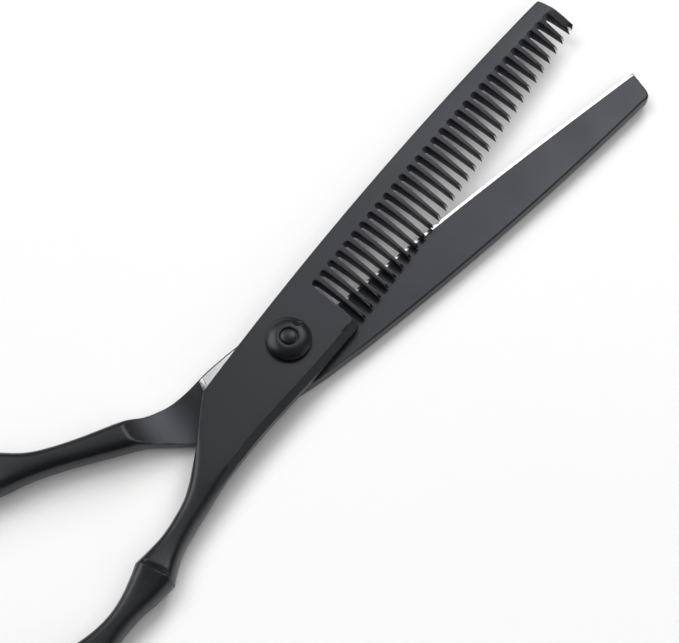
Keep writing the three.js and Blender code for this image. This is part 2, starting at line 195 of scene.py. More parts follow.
def plan_mesh(outline, holes, insets, grid, creases):
    """The plan cut into triangles: its points, its faces and the faces' middles.

    insets are depths at which the edges' roundings have points, grid is the points inside, creases are
    lines that the triangles' edges follow.
    """
    loops = [np.array(outline)] + [np.array(hole) for hole in holes]
    closed = [[*loop, loop[0]] for loop in loops]
    points, edges = [], []

    def depth_of(places):
        return np.min([distance(places, line) for line in closed], axis=0)

    def add(line, kept=None, close=False):
        index = {}
        for i, p in enumerate(line):
            if kept is None or kept[i]:
                index[i] = len(points)
                points.append(p)
        last = len(line) if close else len(line) - 1
        for i in range(last):
            j = (i + 1) % len(line)
            if i in index and j in index:
                edges.append((index[i], index[j]))

    for loop in loops:
        add(loop, close=True)
    for depth in insets:
        for loop in loops:
            line = inset(loop, depth)
            add(line, kept=depth_of(line) > 0.93 * depth, close=True)
    for line in creases:
        add(np.array(line))
    if len(grid):
        grid = np.array(grid)
        clear = max(insets, default=0) + 0.25
        within = inside(grid, outline) & (depth_of(grid) > clear)
        points.extend(grid[within])

    made = delaunay_2d_cdt([Vector(p) for p in points], edges, [], 0, 1e-5)
    plan = np.array([v[:] for v in made[0]])
    faces = [tuple(f) for f in made[2]]
    middles = np.array([plan[list(f)].mean(0) for f in faces])
    kept = inside(middles, outline)
    for hole in holes:
        kept &= ~inside(middles, hole)
    faces = [f for f, keep in zip(faces, kept) if keep]
    used = sorted({i for f in faces for i in f})
    renumber = {old: new for new, old in enumerate(used)}
    return plan[used], [tuple(renumber[i] for i in f) for f in faces], middles[kept]


def relief(name, outline, holes, top, bottom, turn=0.0, insets=(), grid=(), creases=(), slot_of=None,
           rim_of=None):
    """A closed piece with a plan outline and holes, whose top and bottom are heights over the plan.

    slot_of and rim_of give the materials of the upper faces and of the walls from their middles.
    """
    plan, faces, middles = plan_mesh(outline, holes, insets, grid, creases)
    count = len(plan)
    upper = top(plan)
    lower = np.minimum(bottom(plan), upper - THINNEST)
    vertices = [(*p, z) for p, z in zip(plan, upper)] + [(*p, z) for p, z in zip(plan, lower)]
    solid = list(faces) + [tuple(i + count for i in reversed(f)) for f in faces]
    directed = {(f[i], f[(i + 1) % len(f)]) for f in faces for i in range(len(f))}
    rim = sorted((a, b) for a, b in directed if (b, a) not in directed)
    solid += [(a + count, b + count, b, a) for a, b in rim]
    piece = to_mesh(name, vertices, solid, turn)
    if slot_of or rim_of:
        walls = np.array([(plan[a] + plan[b]) / 2 for a, b in rim])
        upper_slots = slot_of(middles) if slot_of else np.zeros(len(middles), int)
        rim_slots = rim_of(walls) if rim_of else np.zeros(len(walls), int)
        materials = [*upper_slots, *np.zeros(len(middles), int), *rim_slots]
        piece.data.polygons.foreach_set("material_index", materials)
    return piece


def lathe(name, profile, segments=64, place=Matrix.Identity(4), wave=None):
    """A solid of revolution about Z, from a profile that is a closed loop of (radius, height)."""
    vertices, rings = [], []
    for radius, height in profile:
        if radius < 1e-6:
            rings.append([len(vertices)] * segments)
            vertices.append((0, 0, height))
            continue
        ring = []
        for k in range(segments):
            angle = 2 * math.pi * k / segments
            lift = wave(angle) if wave else 0
            ring.append(len(vertices))
            vertices.append((radius * math.cos(angle), radius * math.sin(angle), height + lift))
        rings.append(ring)
    faces = []
    for a, b in zip(rings, rings[1:] + rings[:1]):
        for k in range(segments):
            m = (k + 1) % segments
            face = []
            for i in (a[k], a[m], b[m], b[k]):
                if i not in face:
                    face.append(i)
            if len(face) > 2:
                faces.append(face)
    placed = [place @ Vector(v) for v in vertices]
    return to_mesh(name, placed, faces)


def rounded(corners, radius, steps=4):
    """A closed profile with rounded corners. A corner may bring its own radius as a third number."""
    profile = []
    count = len(corners)
    for i, corner in enumerate(corners):
        here = np.array(corner[:2], float)
        r = corner[2] if len(corner) > 2 else radius
        before = np.array(corners[i - 1][:2], float) - here
        after = np.array(corners[(i + 1) % count][:2], float) - here
        if r <= 0 or here[0] < 1e-6:
            profile.append(tuple(here))
            continue
        reach = min(r, 0.45 * np.linalg.norm(before), 0.45 * np.linalg.norm(after))
        start = here + before / np.linalg.norm(before) * reach
        stop = here + after / np.linalg.norm(after) * reach
        for t in np.linspace(0, 1, steps + 1):
            p = (1 - t) ** 2 * start + 2 * t * (1 - t) * here + t * t * stop
            profile.append((float(max(p[0], 0)), float(p[1])))
    return profile


# ---------------------------------------------------------------- materials

def nodes_of(name):
    """A new material with its node tree and its main shader."""
    material = bpy.data.materials.new(name)
    material.use_nodes = True
    tree = material.node_tree
    return material, tree, tree.nodes["Principled BSDF"]


def node(tree, kind, **values):
    """A new node. Values go to the sockets of that name, or else to the node's own settings."""
    made = tree.nodes.new(kind)
    for key, value in values.items():
        if key in made.inputs:
            made.inputs[key].default_value = value
        else:
            setattr(made, key, value)
    return made


def noise(tree, scale, detail=4.0, stretch=(1, 1, 1)):
    """Noise in the object's own coordinates, in features per metre, stretched along an axis."""
    place = node(tree, "ShaderNodeTexCoord")
    spread = node(tree, "ShaderNodeMapping")
    spread.inputs["Scale"].default_value = stretch
    made = node(tree, "ShaderNodeTexNoise", Scale=scale, Detail=detail)
    tree.links.new(place.outputs["Object"], spread.inputs["Vector"])
    tree.links.new(spread.outputs["Vector"], made.inputs["Vector"])
    return made.outputs["Fac"]


def ranged(tree, value, low, high, start=0.0, stop=1.0):
    """A value that goes from low to high while the given one goes from start to stop."""
    made = node(tree, "ShaderNodeMapRange")
    made.inputs["From Min"].default_value = start
    made.inputs["From Max"].default_value = stop
    made.inputs["To Min"].default_value = low
    made.inputs["To Max"].default_value = high
    tree.links.new(value, made.inputs["Value"])
    return made.outputs["Result"]


def blended(tree, share, first, second):
    """A colour between the first and the second."""
    made = node(tree, "ShaderNodeMix", data_type="RGBA")
    made.inputs[MIX_FIRST].default_value = (*first, 1)
    made.inputs[MIX_SECOND].default_value = (*second, 1)
    tree.links.new(share, made.inputs[MIX_FACTOR])
    return made.outputs[MIX_RESULT]


def bumped(tree, shader, height, depth, strength):
    """Gives the surface small hills, depth metres high."""
    made = node(tree, "ShaderNodeBump", Strength=strength, Distance=depth)
    tree.links.new(height, made.inputs["Height"])
    tree.links.new(made.outputs["Normal"], shader.inputs["Normal"])


def painted_edge_highlight(tree, radius, amount):
    """A mask of painted highlights along the edges: where a rounded normal leaves the true one, broken up
    by noise.
    """
    rounded_normal = node(tree, "ShaderNodeBevel", Radius=radius, samples=4)
    true_normal = node(tree, "ShaderNodeNewGeometry")
    alike = node(tree, "ShaderNodeVectorMath", operation="DOT_PRODUCT")
    tree.links.new(rounded_normal.outputs["Normal"], alike.inputs[0])
    tree.links.new(true_normal.outputs["Normal"], alike.inputs[1])
    near_edge = ranged(tree, alike.outputs["Value"], 1, 0, 0.93, 1.0)
    broken = ranged(tree, noise(tree, 1500, 5), 0, amount, 0.42, 0.68)
    both = node(tree, "ShaderNodeMath", operation="MULTIPLY")
    tree.links.new(near_edge, both.inputs[0])
    tree.links.new(broken, both.inputs[1])
    return both.outputs["Value"]


def black_coating():
    """Satin black coating on steel: fine orange peel, uneven gloss, and a painted highlight that makes the
    edges a little lighter.
    """
    material, tree, shader = nodes_of("black_coating")
    grain = noise(tree, 9000, 3)
    patches = noise(tree, 120, 4)
    coat = blended(tree, patches, (0.0062, 0.0065, 0.0072), (0.0095, 0.0099, 0.0108))
    # Painted highlight: a lighter grey is mixed into the coat's colour along the edges, standing in for the
    # light that edges catch
    highlighted = node(tree, "ShaderNodeMix", data_type="RGBA")
    tree.links.new(painted_edge_highlight(tree, 0.00012, 0.5), highlighted.inputs[MIX_FACTOR])
    tree.links.new(coat, highlighted.inputs[MIX_FIRST])
    highlighted.inputs[MIX_SECOND].default_value = (0.16, 0.16, 0.165, 1)
    tree.links.new(highlighted.outputs[MIX_RESULT], shader.inputs["Base Color"])
    tree.links.new(ranged(tree, patches, 0.30, 0.38, 0.3, 0.7), shader.inputs["Roughness"])
    shader.inputs["Specular Tint"].default_value = (0.92, 0.93, 1, 1)
    bumped(tree, shader, grain, 0.000004, 0.6)
    return material


def bare_steel():
    """Ground and honed steel with fine scratches along the blade."""
    material, tree, shader = nodes_of("bare_steel")
    scratches = noise(tree, 6000, 4, (1, 0.03, 1))
    stains = noise(tree, 260, 3)
    ground = blended(tree, stains, (0.42, 0.425, 0.43), (0.86, 0.865, 0.87))
    tree.links.new(ground, shader.inputs["Base Color"])
    tree.links.new(ranged(tree, scratches, 0.2, 0.28, 0.3, 0.7), shader.inputs["Roughness"])
    shader.inputs["Metallic"].default_value = 1.0
    bumped(tree, shader, scratches, 0.0000015, 0.5)
    return material


def spring_steel():
    """Rolled spring steel, brushed across."""
    material, tree, shader = nodes_of("spring_steel")
    brushed = noise(tree, 4000, 4, (0.1, 1, 1))
    grey = blended(tree, brushed, (0.30, 0.31, 0.33), (0.42, 0.43, 0.45))
    tree.links.new(grey, shader.inputs["Base Color"])
    tree.links.new(ranged(tree, brushed, 0.28, 0.42), shader.inputs["Roughness"])
    shader.inputs["Metallic"].default_value = 1.0
    bumped(tree, shader, brushed, 0.000005, 0.4)
    return material


def washer_plastic():
    """Slippery off-white plastic."""
    material, tree, shader = nodes_of("washer_plastic")
    cloud = noise(tree, 700, 4)
    off_white = blended(tree, cloud, (0.70, 0.69, 0.64), (0.80, 0.79, 0.75))
    tree.links.new(off_white, shader.inputs["Base Color"])
    tree.links.new(ranged(tree, cloud, 0.45, 0.6), shader.inputs["Roughness"])
    shader.inputs["Subsurface Weight"].default_value = 0.05
    bumped(tree, shader, cloud, 0.00001, 0.3)
    return material


def black_rubber():
    """Dull rubber with fine pores and a little dust."""
    material, tree, shader = nodes_of("black_rubber")
    pores = noise(tree, 5000, 5)
    dust = noise(tree, 500, 4)
    black = blended(tree, dust, (0.010, 0.010, 0.010), (0.024, 0.024, 0.023))
    tree.links.new(black, shader.inputs["Base Color"])
    tree.links.new(ranged(tree, dust, 0.6, 0.8), shader.inputs["Roughness"])
    bumped(tree, shader, pores, 0.00002, 0.5)
    return material


BLACK = black_coating()
BARE = bare_steel()
SPRING = spring_steel()
PLASTIC = washer_plastic()
RUBBER = black_rubber()


def finish_piece(piece, body, node_name, slot, *materials):
    """Gives a piece its materials, its body and the node that it replaces. slot is not used."""
    for material in materials:
        piece.data.materials.append(material)
    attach(piece, body)
    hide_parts(node_name)
    return piece


# ---------------------------------------------------------------- edges and sections

def edge_drop(depth, radius):
    """How far a rounded edge lies below its face, at a depth from the outline."""
    reach = np.clip(1 - depth / radius, 0, 1)
    return radius * (1 - np.sqrt(1 - reach ** 2))


def bevel_drop(depth, width, slope):
    """How far a flat bevel lies below its face, with its upper corner just broken."""
    reach = width - depth
    return slope * (reach + np.sqrt(reach ** 2 + 0.05 ** 2)) / 2


def swell(room, reach):
    """The share of a handle's full thickness: an oval near its edges that levels off inside."""
    x = np.maximum(room, 0) / reach
    return np.sqrt(x) / (1 + x ** 4) ** 0.125


def soft_min(a, b, width):
    """The lower of two heights, with the corner between them eased over a width."""
    h = np.clip(0.5 + 0.5 * (b - a) / width, 0, 1)
    return mix(b, a, h) - width * h * (1 - h)


def forged(side, middle, full, swollen, bump):
    """The height of a handle's face, from its middle to its full height. side is 1 above and -1 below."""
    start = middle + side * 0.1
    return start + (full - start) * swollen + side * bump


def room_between(left, right, hole, y, ring_y):
    """Grows from zero at the edges of a handle, and is smooth where the handle parts round the ring."""
    tiny = 1e-6
    left, right, hole = (np.maximum(d, tiny) for d in (left, right, hole))
    apart = 1 / left + 1 / right
    nearest = 1 / np.minimum(left, right)
    return 1 / (mix(nearest, apart, smoothstep(ring_y, ring_y + 9, y)) + 1 / hole)


def from_line(points, start, stop):
    """The signed distance from a line, to its left."""
    (x0, y0), (x1, y1) = start, stop
    length = math.hypot(x1 - x0, y1 - y0)
    return ((x1 - x0) * (points[:, 1] - y0) - (y1 - y0) * (points[:, 0] - x0)) / length


def beside_line(start, stop, offset, step=0.45, beyond=0.6):
    """A line parallel to another, offset to its left and a little longer."""
    a, b = np.array(start, float), np.array(stop, float)
    along = (b - a) / np.linalg.norm(b - a)
    left = np.array((-along[1], along[0])) * offset
    count = round(float(np.linalg.norm(b - a) + 2 * beyond) / step)
    return [mix(a - along * beyond, b + along * beyond, t) + left for t in np.linspace(0, 1, count + 1)]


def knuckle(t, room):
    """The ridge round a handle's knuckle, and beside it a crease that stays clear of the edges."""
    ridge = 0.6 * np.exp(-np.abs(t) / 2.4) * smoothstep(0, 1.2, room)
    crease = 0.36 * np.exp(-((t - 0.55) / 0.26) ** 2) * smoothstep(0.5, 1.6, room)
    return ridge - crease


def handle_shape(points, lines, ring_hole, ring_y, ridge, ring_start, reach):
    """What a handle's section depends on: the distances to its sides, its swelling, its knuckle, and
    how far the shank has turned into the ring."""
    y = points[:, 1]
    left = distance(points, lines["left"])
    right = distance(points, lines["right"])
    hole = distance(points, [*ring_hole, ring_hole[0]])
    room = room_between(left, right, hole, y, ring_y)
    ring = smoothstep(ring_start, ring_start - 10, y)
    swollen = swell(room, mix(reach, 0.6, ring))
    bump = knuckle(from_line(points, *ridge), room)
    return left, right, swollen, bump, ring


# Places of the mesh's lines beside a knuckle, and depths of its lines along the outlines
KNUCKLE_LINES = (-2.4, -1.6, -1.0, -0.55, -0.2, 0.05, 0.25, 0.4, 0.55, 0.7, 0.9, 1.3, 1.9, 2.6)
EDGE_INSETS = (0.02, 0.08, 0.18, 0.3, EDGE_STRIP, 0.6, 0.82, HEEL_BEVEL, 1.5)


def hex_grid(x0, y0, x1, y1, step):
    """Points in staggered rows, so that the triangles between them are nearly regular."""
    rows = np.arange(y0, y1, step * 0.87)
    return [(x + (i % 2) * step / 2, y) for i, y in enumerate(rows) for x in np.arange(x0, x1, step)]


# ---------------------------------------------------------------- comb arm

def comb_spine(y):
    """The back of the comb blade, a very flat arc."""
    return -6.3 + (y - 20) ** 2 / (2 * 680)


def slot_root(y):
    """The line of the slots' round ends, closer to the back towards the tip."""
    return comb_spine(y) + 3.08 - 0.009 * (y - FIRST_SLOT)


def tooth_tip(y):
    """The line of the teeth's ends: teeth get shorter towards the tip, along a slight bow."""
    along = (y - FIRST_SLOT) / (LAST_SLOT - FIRST_SLOT)
    return 6.8 - 3.8 * along + 0.55 * np.sin(math.pi * np.clip(along, 0, 1))


def slot_middle(y, x):
    """The middle of a slot, which bends slightly towards the pivot."""
    run = x - slot_root(y)
    return y - 0.01 * run - 0.0035 * run ** 2


def slot_line(y):
    """One slot: from its mouth on the tip side, round its root, to its mouth on the pivot side."""
    root, mouth = slot_root(y), tooth_tip(y)
    start = root + SLOT_ROOT_RADIUS
    bevel = 1 - TOOTH_BEVEL / (mouth - start)
    shares = (0.12, 0.3, 0.5, 0.7, bevel, 1)

    def side(sign, share):
        x = mix(start, mouth, share)
        half = mix(SLOT_ROOT_RADIUS, SLOT_MOUTH_HALF, math.sqrt(share))
        return np.array((x, slot_middle(y, x) + sign * half))

    rounded_root = arc((start, y), SLOT_ROOT_RADIUS, 100, 260, 0.23)
    tip_side = [side(1, share) for share in reversed(shares)]
    pivot_side = [side(-1, share) for share in shares]
    return [*tip_side, *rounded_root, *pivot_side]


def comb_lines():
    """The comb arm's outline in named stretches, anticlockwise from the tip."""
    spine = [np.array((comb_spine(y), y)) for y in np.linspace(72.6, -14.2, 36)]
    to_knuckle = joined(
        [spine[-1], (-5.45, -14.75), (-5.15, -15.3), (-3.55, -17.95)],
        through([(-3.55, -17.95), (-1.25, -21.6), (0.45, -24.8), (1.8, -27.6), (2.78, -30.3),
                 (3.4, -33.5), (3.7, -36.6), (3.55, -39.6), (3.2, -42.65)], 0.8),
    )
    to_ring = through([(3.2, -42.65), (4.0, -45.0), (4.8, -48.0), (5.15, -51.2), (4.8, -54.8),
                       (3.75, -58.6), (2.1, -62.6), (0.5, -66.4)], 0.9)
    ring = arc(THUMB_RING, RING_OUTER, 149, 437, 1.0)
    half = len(ring) // 2
    from_ring = through([ring[-1], (12.2, -60.1), (10.35, -58.1), (9.35, -55.3), (8.95, -51.8),
                         (9.15, -48.4), (9.7, -45.0), (10.1, -41.6)], 0.9)
    to_heel = through([(10.1, -41.6), (8.8, -39.1), (7.9, -36.6), (7.25, -33.3), (6.75, -28.7),
                       (6.3, -24.1), (6.08, -20.5), (6.06, -14), (6.68, -2), (6.97, 7.9)], 1.1)
    heel_corner = slot_line(FIRST_SLOT)[-1]
    last_prong = np.array((2.9, 72.8))
    tip = through([(2.65, 73.35), (0.8, 73.42), (-0.8, 73.36), (-2.4, 73.17), (-3.75, 72.93),
                   (-4.15, 72.8), spine[0]], 0.8)
    teeth = [heel_corner]
    marks = [beside_line(to_heel[-1], heel_corner, HEEL_BEVEL, beyond=0.1)]
    notches = []
    last = None
    for k in range(SLOTS):
        line = list(reversed(slot_line(FIRST_SLOT + k * PITCH)))
        if last is not None:
            teeth.append(notch(last, line[0]))
            notches.append((last, teeth[-1], line[0]))
            marks.append((teeth[-3], line[1]))
        teeth += line
        last = line[-1]
    teeth.append(notch(last, last_prong))
    notches.append((last, teeth[-1], last_prong))
    marks.append((teeth[-3], (2.4, 73.05)))
    teeth.append(last_prong)
    # The outline's stretches, then the teeth's bevel lines and the walls of their V notches
    return {
        "left": joined(spine, to_knuckle, to_ring, ring[:half + 1]),
        "right": joined(ring[half:], from_ring, to_heel, [heel_corner]),
        "teeth": joined(teeth, tip[:1]),
        "tip": tip,
        "bevels": marks,
        "notches": notches,
    }


def notch(pivot_side, tip_side):
    """The bottom of the V between a tooth's two prongs."""
    middle = (pivot_side + tip_side) / 2
    return middle - np.array((PRONG_DEPTH, 0))


def comb_arm():
    """The arm on top: the comb blade, its shank and the thumb ring."""
    lines = comb_lines()
    outline = joined(lines["left"], lines["right"], lines["teeth"], lines["tip"])[:-1]
    ring_hole = list(reversed(arc(THUMB_RING, RING_INNER, 0, 360, 0.9)))[:-1]
    bore = list(reversed(arc((0, 0), 2.8, 0, 360, 0.35)))[:-1]
    ridge = ((3.2, -42.65), (10.1, -41.6))
    blade_middle = 4.6
    shank_top = 5.65
    washer_seat = 4.76

    def shape(points):
        return handle_shape(points, lines, ring_hole, THUMB_RING[1], ridge, -56, 0.7)

    def middle_of(y):
        return mix(blade_middle, RING_MIDDLE, smoothstep(-19, -32, y))

    def ground_off(x, y):
        tip = tooth_tip(y)
        root = slot_root(y)
        thinned = np.clip((x - root) / (tip - TOOTH_BEVEL - root), 0, 1)
        bevelled = np.clip((x - tip + TOOTH_BEVEL) / (TOOTH_BEVEL + 0.1), 0, 1)
        depth = (COMB_TOP - TOOTH_END_TOP) * thinned
        depth += (TOOTH_END_TOP - COMB_BOTTOM - TOOTH_EDGE) * bevelled * smoothstep(73.3, 72.9, y)
        return np.where(y > slot_middle(FIRST_SLOT, x), depth, 0)

    def top(points):
        x, y = points.T
        left, right, swollen, bump, ring = shape(points)
        teeth = distance(points, lines["teeth"])
        end = distance(points, lines["tip"])
        level = COMB_TOP - edge_drop(left, 0.16) - bevel_drop(right, HEEL_BEVEL, HEEL_SLOPE)
        level -= edge_drop(teeth, 0.06) + edge_drop(end, 0.16)
        level -= ground_off(x, y)
        full = mix(mix(COMB_TOP, shank_top, smoothstep(-20, -33, y)), RING_HEIGHT, ring)
        return mix(level, forged(1, middle_of(y), full, swollen, bump), smoothstep(-19, -30, y))

    def bottom(points):
        x, y = points.T
        left, right, swollen, bump, ring = shape(points)
        level = COMB_BOTTOM + edge_drop(np.minimum(left, right), 0.1)
        level += np.where(np.hypot(x, y) < washer_seat, 0.5, 0)
        full = mix(mix(COMB_BOTTOM, SHANK_BOTTOM, smoothstep(-23.5, -33, y)), 0.0, ring)
        return mix(level, forged(-1, middle_of(y), full, swollen, bump), smoothstep(-19, -30, y))

    def bare_notches(walls):
        return np.any([distance(walls, line) < 0.001 for line in lines["notches"]], axis=0).astype(int)

    creases = [beside_line(*ridge, offset) for offset in KNUCKLE_LINES]
    creases += lines["bevels"]
    creases += [arc((0, 0), radius, 0, 360, 0.5) for radius in (washer_seat - 0.01, washer_seat + 0.03)]
    grid = hex_grid(-4, -90, 28, -14, 0.85) + hex_grid(-6, -14, 8, 74, 2.2)
    piece = relief("comb_arm_steel", outline, [ring_hole, bore], top, bottom, HALF_OPENING,
                   EDGE_INSETS, grid, creases, rim_of=bare_notches)
    return finish_piece(piece, "thumb_arm", "comb_arm", "black_coated_steel", BLACK, BARE)


# ---------------------------------------------------------------- plain arm

RIDE_RADIUS = 15.2
RIDE_BEVEL = 0.8
RIDE_DROP = 0.18
EDGE_START = 8.6


def plain_spine(y):
    """The back of the plain blade."""
    return 7.57 - 0.00082 * (y - 14) ** 2


def cutting_edge(y):
    """The plain blade's cutting edge, bowed a little away from its back."""
    along = (y - 12) / 62
    return -0.6 - 0.45 * math.sin(math.pi * max(along, 0)) + 0.42 * along


def plain_lines():
    """The plain arm's outline in named stretches, anticlockwise from the tip."""
    edge = [np.array((cutting_edge(y), y)) for y in np.linspace(74.2, EDGE_START, 33)]
    heel = through([edge[-1], (-1.7, 7.2), (-3.3, 5.0), (-4.75, 1.2), (-5.38, -4.5), (-5.3, -11.5),
                    (-4.85, -16.5), (-4.75, -19), (-4.9, -21.5), (-5.85, -24.8), (-7.25, -27.8),
                    (-8.3, -31), (-9.55, -34.8), (-11.2, -39), (-13.05, -42.5), (-17.6, -47.5)], 0.9)
    to_ring = through([(-17.6, -47.5), (-18.0, -50), (-18.1, -53), (-18.5, -56.6), (-19.6, -60.2),
                       (-22.3, -63.4), (-25.9, -65.9)], 0.9)
    ring = arc(FINGER_RING, RING_OUTER, 114, 410, 1.0)
    half = len(ring) // 2
    from_ring = through([ring[-1], (-12.75, -66.6), (-13.8, -64.3), (-14.45, -61.6), (-14.7, -58.8),
                         (-13.7, -56), (-12.1, -53.4), (-10.6, -51)], 0.9)
    to_spine = through([(-10.6, -51), (-9.9, -48.6), (-9.0, -44.9), (-7.35, -40.3), (-5.0, -35),
                        (-3.15, -31), (-1.8, -28), (0.4, -24.5), (2.6, -21), (4.0, -17), (6, -9),
                        (7.1, -1), (7.5, 8)], 1.0)
    spine = [np.array((plain_spine(y), y)) for y in np.linspace(8, 71.6, 24)]
    tip = through([spine[-1], (4.86, 72.7), (4.6, 73.3), (3.95, 73.67), (2.0, 73.95), edge[0]], 0.6)
    return {
        "edge": edge,
        "left": joined(heel, to_ring, ring[:half + 1]),
        "right": joined(ring[half:], from_ring, to_spine, spine, tip),
    }


def scoop(distance_from_pivot):
    """The hollow between the ride and the handle's ridge, a groove with a round floor."""
    radius, depth, middle = 18, 0.6, 19.4
    reach = np.clip(distance_from_pivot - middle, -radius, radius)
    return PLAIN_TOP - depth + radius - np.sqrt(radius ** 2 - reach ** 2)


def plain_arm():
    """The arm below: the plain blade, its shank and the finger ring."""
    lines = plain_lines()
    outline = joined(lines["edge"], lines["left"], lines["right"])[:-1]
    ring_hole = list(reversed(arc(FINGER_RING, RING_INNER, 0, 360, 0.9)))[:-1]
    bore = list(reversed(arc((0, 0), 2.05, 0, 360, 0.3)))[:-1]
    ridge = ((-17.6, -47.5), (-10.6, -51))
    blade_middle = 2.0
    shank_top = 5.5
    nut_seat = 2.66

    def shape(points):
        return handle_shape(points, lines, ring_hole, FINGER_RING[1], ridge, -59, 0.75)

    def middle_of(y):
        return mix(blade_middle, RING_MIDDLE, smoothstep(-21, -31, y))

    def top(points):
        x, y = points.T
        left, right, swollen, bump, ring = shape(points)
        pivot = np.hypot(x, y)
        blade = PLAIN_TOP - edge_drop(right, mix(0.12, 0.3, smoothstep(0, 20, y)))
        blade -= RIDE_DROP * np.clip(1 - (RIDE_RADIUS - pivot) / RIDE_BEVEL, 0, 1) * (y < -5)
        full = mix(mix(PLAIN_TOP + 1.6, shank_top, smoothstep(-21, -27, y)), RING_HEIGHT, ring)
        level = mix(blade, forged(1, middle_of(y), full, swollen, bump), smoothstep(-21, -28, y))
        hollow = scoop(pivot)
        scooped = np.where(pivot < 26, np.minimum(level, hollow), soft_min(level, hollow, 0.25))
        return np.where((pivot > RIDE_RADIUS + 0.02) & (y < -5), scooped, level)

    def bottom(points):
        x, y = points.T
        left, right, swollen, bump, ring = shape(points)
        edge = distance(points, lines["edge"])
        grind = np.clip(1 - edge / 2.4, 0, 1) * (PLAIN_TOP - PLAIN_BOTTOM - 0.35) * (y > 3)
        level = PLAIN_BOTTOM + edge_drop(np.minimum(left, right), 0.15) + grind
        level += np.where(np.hypot(x, y) < nut_seat, 1.05, 0)
        full = mix(SHANK_BOTTOM, 0.0, ring)
        return mix(level, forged(-1, middle_of(y), full, swollen, bump), smoothstep(-21, -28, y))

    def bare_faces(middles):
        x, y = middles.T
        pivot = np.hypot(x, y)
        coated_rim = distance(middles, lines["left"]) < 0.18
        crescent = (pivot < RIDE_RADIUS) & (y < 1.5) & (np.hypot(x - 14, y + 2) > 12) & ~coated_rim
        honed = (distance(middles, lines["edge"]) < EDGE_STRIP) & (y > EDGE_START)
        return (crescent | honed).astype(int)

    creases = [beside_line(*ridge, offset) for offset in KNUCKLE_LINES]
    bevel_start = RIDE_RADIUS - RIDE_BEVEL
    ride_end = (bevel_start - 0.08, bevel_start, bevel_start + 0.08, RIDE_RADIUS, RIDE_RADIUS + 0.12)
    creases += [arc((0, 0), radius, 215, 310, 0.4) for radius in ride_end]
    creases += [arc((0, 0), radius, 246, 274, 0.4) for radius in np.arange(24.6, 31.4, 0.4)]
    creases += [arc((14, -2), 12, 150, 250, 0.6), [(-6.5, 1.5), (4, 1.5)]]
    creases += [arc((0, 0), radius, 0, 360, 0.4) for radius in (nut_seat - 0.01, nut_seat + 0.03)]
    grid = hex_grid(-36, -95, 5, -14, 0.85) + hex_grid(-6, -14, 8, 74, 2.2)
    piece = relief("plain_arm_steel", outline, [ring_hole, bore], top, bottom, -HALF_OPENING,
                   EDGE_INSETS, grid, creases, bare_faces)
    return finish_piece(piece, "finger_arm", "plain_arm", "black_coated_steel", BLACK, BARE)


# ---------------------------------------------------------------- pivot stack

SCREW_RADIUS = 2.0
THREAD_RADIUS = 1.45
BUSHING_RADIUS = 2.75
RIDE_WASHER_RADIUS = 4.6
DIAL_RADIUS = 3.62
DIAL_BOTTOM = COMB_TOP + 0.3
SCREW_TOP = 7.05


def circle(centre, radius, step):
    """A closed circle, anticlockwise, without its last point."""
    return arc(centre, radius, 0, 360, step)[:-1]


def off_spots(ring, spots, clearance):
    """The sides of a ring that keep clear of some spots, each as a short line."""
    away = [min(np.linalg.norm(p - spot) for spot in spots) > clearance for p in ring]
    pairs = [(i, (i + 1) % len(ring)) for i in range(len(ring))]
    return [[ring[i], ring[j]] for i, j in pairs if away[i] and away[j]]


def turned_by(angle):
    """A turn about Z, in radians."""
    return Matrix.Rotation(angle, 4, "Z")


def tension_dial():
    """A low dome with a dimple for a key, a bore for the screw and a hollow for the wave washer."""
    bore_radius = 1.5
    hollow_radius = 3.1
    hollow_top = 6.68
    dome = [(bore_radius, 7.5), (1.58, 7.58), (1.75, 7.6), (2.1, 7.57), (2.4, 7.49), (2.75, 7.35),
            (3.08, 7.16), (3.3, 6.99), (3.48, 6.82), (3.58, 6.68), (DIAL_RADIUS, 6.5)]
    dome_rings = (1.54, 1.58, 1.66, 1.75, 1.9, 2.1, 2.4, 2.75, 3.3, 3.4, 3.48, 3.54, 3.58, 3.6)
    dimple_radius = 0.72
    dimple_depth = 0.42
    dimple_rings = (0.35, 0.65, 0.85, 0.95, 1.0, 1.04)
    direction = math.radians(103)
    dimple = 2.75 * np.array((math.cos(direction), math.sin(direction)))

    def top(points):
        height = np.interp(np.hypot(*points.T), *zip(*dome))
        away = np.hypot(*(points - dimple).T) / dimple_radius
        return height - dimple_depth * np.clip(1 - away ** 4, 0, 1)

    def bottom(points):
        radius = np.hypot(*points.T)
        rim = DIAL_BOTTOM + edge_drop(DIAL_RADIUS - radius, 0.08)
        return np.where(radius < hollow_radius, hollow_top, rim)

    creases = [arc((0, 0), hollow_radius + beside, 0, 360, 0.2) for beside in (-0.02, 0.02)]
    for radius in dome_rings:
        creases += off_spots(circle((0, 0), radius, 0.2), [dimple], dimple_radius + 0.08)
    creases += [arc(dimple, dimple_radius * share, 0, 360, 0.09) for share in dimple_rings]
    rim = circle((0, 0), DIAL_RADIUS, 0.2)
    bore = list(reversed(circle((0, 0), bore_radius, 0.15)))
    piece = relief("tension_dial_cap", rim, [bore], top, bottom, creases=creases)
    return finish_piece(piece, "dial", "tension_dial", "black_coated_steel", BLACK)


def retaining_screw():
    """A button head over a short thread."""
    stem_radius = 0.68
    stem_bottom = 5.1
    head_radius = 1.24
    head_bottom = SCREW_TOP + 0.02
    dome_start = 7.62
    dome_height = 0.33
    flange_radius = 1.44
    flange_top = head_bottom + 0.2
    dome = [(head_radius * math.cos(a), dome_start + dome_height * math.sin(a))
            for a in np.linspace(0, math.pi / 2, 12)]
    dome[-1] = (0, dome_start + dome_height)
    stem = rounded([
        (0, stem_bottom, 0), (stem_radius, stem_bottom, 0.15), (stem_radius, head_bottom, 0),
        (flange_radius, head_bottom, 0.05), (flange_radius, flange_top, 0.05), (head_radius, flange_top, 0),
    ], 0)
    piece = lathe("retaining_screw_button", [*stem, *dome], 48)
    return finish_piece(piece, "finger_arm", "retaining_screw", "black_coated_steel", BLACK)


